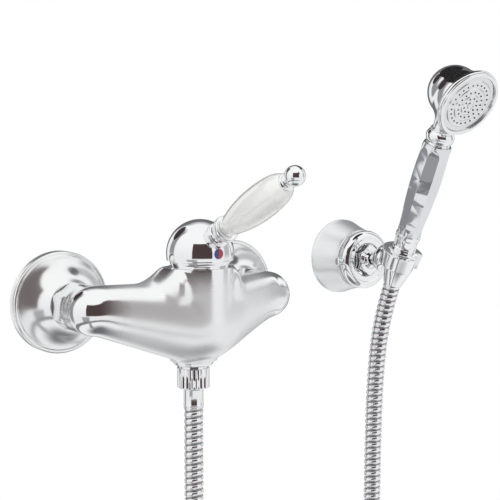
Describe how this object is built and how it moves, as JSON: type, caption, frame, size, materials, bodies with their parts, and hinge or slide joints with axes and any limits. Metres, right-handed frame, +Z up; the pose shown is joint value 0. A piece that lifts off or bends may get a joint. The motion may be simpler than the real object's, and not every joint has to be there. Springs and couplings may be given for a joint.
{
  "type": "shower mixer",
  "caption": "Exposed wall shower mixer with a domed lever handle and ceramic grip, a ribbed hose, and a hand shower held in a swivel wall bracket.",
  "frame": {"origin": "on the wall plane, halfway between the axes of the two wall threads", "axes": "+Y into the wall, -Y out towards the user, +X to the right along the wall, +Z up"},
  "size_m": [0.3375, 0.2183, 0.6125],
  "materials": {
    "chrome": "polished",
    "satin_chrome": "satin",
    "hose_metal": "polished, ribbed",
    "brass": "machined",
    "steel": "plain",
    "rubber": "matte",
    "valve_plastic": "matte",
    "valve_ceramic": "lapped",
    "glazed_ceramic": "glazed",
    "index": "gloss, left half blue and right half red",
    "tie": "matte"
  },
  "bodies": {
    "mixer": {"ball_seat": "brass", "bracket_collar": "chrome", "bracket_cone": "chrome", "bracket_lock_ring": "chrome", "bracket_screws": "steel", "bracket_thumb_screw": "chrome", "bracket_wall_plate": "steel", "cartridge_base": "valve_plastic", "cartridge_retaining_nut": "brass", "cartridge_seals": "rubber", "cartridge_shell": "valve_plastic", "ceramic_disc_fixed": "valve_ceramic", "eccentric_union_left": "brass", "eccentric_union_right": "brass", "hose_coil": "hose_metal", "hose_ferrule_lower": "chrome", "hose_leg_handset": "hose_metal", "hose_leg_mixer": "hose_metal", "hose_nut_lower": "chrome", "hose_tie": "tie", "hose_washer_lower": "rubber", "inlet_washers": "rubber", "mixer_body": "chrome", "outlet_disc": "chrome", "outlet_nipple": "brass", "shroud_ring": "chrome", "union_nut_left": "chrome", "union_nut_right": "chrome", "wall_flange_left": "chrome", "wall_flange_right": "chrome"},
    "mixing_bush": {"cartridge_rotor": "valve_plastic", "tilt_pin": "steel"},
    "mixing_disc": {"ceramic_disc_moving": "valve_ceramic", "disc_carrier": "valve_plastic"},
    "handle": {"dome_cap": "chrome", "spindle": "steel", "handle_grub_screw": "steel", "index_plug": "index", "lever_rod": "steel", "lever_socket": "chrome", "lever_collar": "chrome", "ceramic_grip": "glazed_ceramic", "lever_neck": "chrome", "finial_ball": "chrome"},
    "holder": {"holder_arm": "chrome"},
    "handset": {"hose_nut_upper": "chrome", "hose_washer_upper": "rubber", "hose_ferrule_upper": "brass", "handset_ferrule": "chrome", "handset_grip": "chrome", "handset_tube": "brass", "handset_collar": "chrome", "handset_head": "chrome", "head_rim": "chrome", "spray_plate": "satin_chrome", "spray_gasket": "rubber", "spray_diffuser": "valve_plastic", "face_screw": "chrome"}
  },
  "joints": [
    {"name": "lever_turn", "type": "hinge", "parent": "mixer", "child": "mixing_bush", "pos_m": [0, -0.08, 0.0468], "axis": [0, 0, 1], "range_deg": [-45, 45]},
    {"name": "lever_lift", "type": "hinge", "parent": "mixing_bush", "child": "handle", "pos_m": [0, -0.08, 0.0468], "axis": [-1, 0, 0], "range_deg": [0, 18]},
    {"name": "disc_slide", "type": "slide", "parent": "mixing_bush", "child": "mixing_disc", "axis": [0, -1, 0], "range_m": [0, 0.0041]},
    {"name": "arm_swing", "type": "hinge", "parent": "mixer", "child": "holder", "pos_m": [0.193, -0.035, 0.025], "axis": [0, 0, 1], "range_deg": [-15, 15], "deforming": ["hose_leg_handset"]},
    {"name": "handset_turn", "type": "hinge", "parent": "holder", "child": "handset", "pos_m": [0.193, -0.07783, 0.03006], "axis": [0, -0.4067, 0.9135], "range_deg": [-45, 45]}
  ],
  "couplings": [
    {"joint": "disc_slide", "follows": "lever_lift", "m_per_rad": 0.0128}
  ]
}
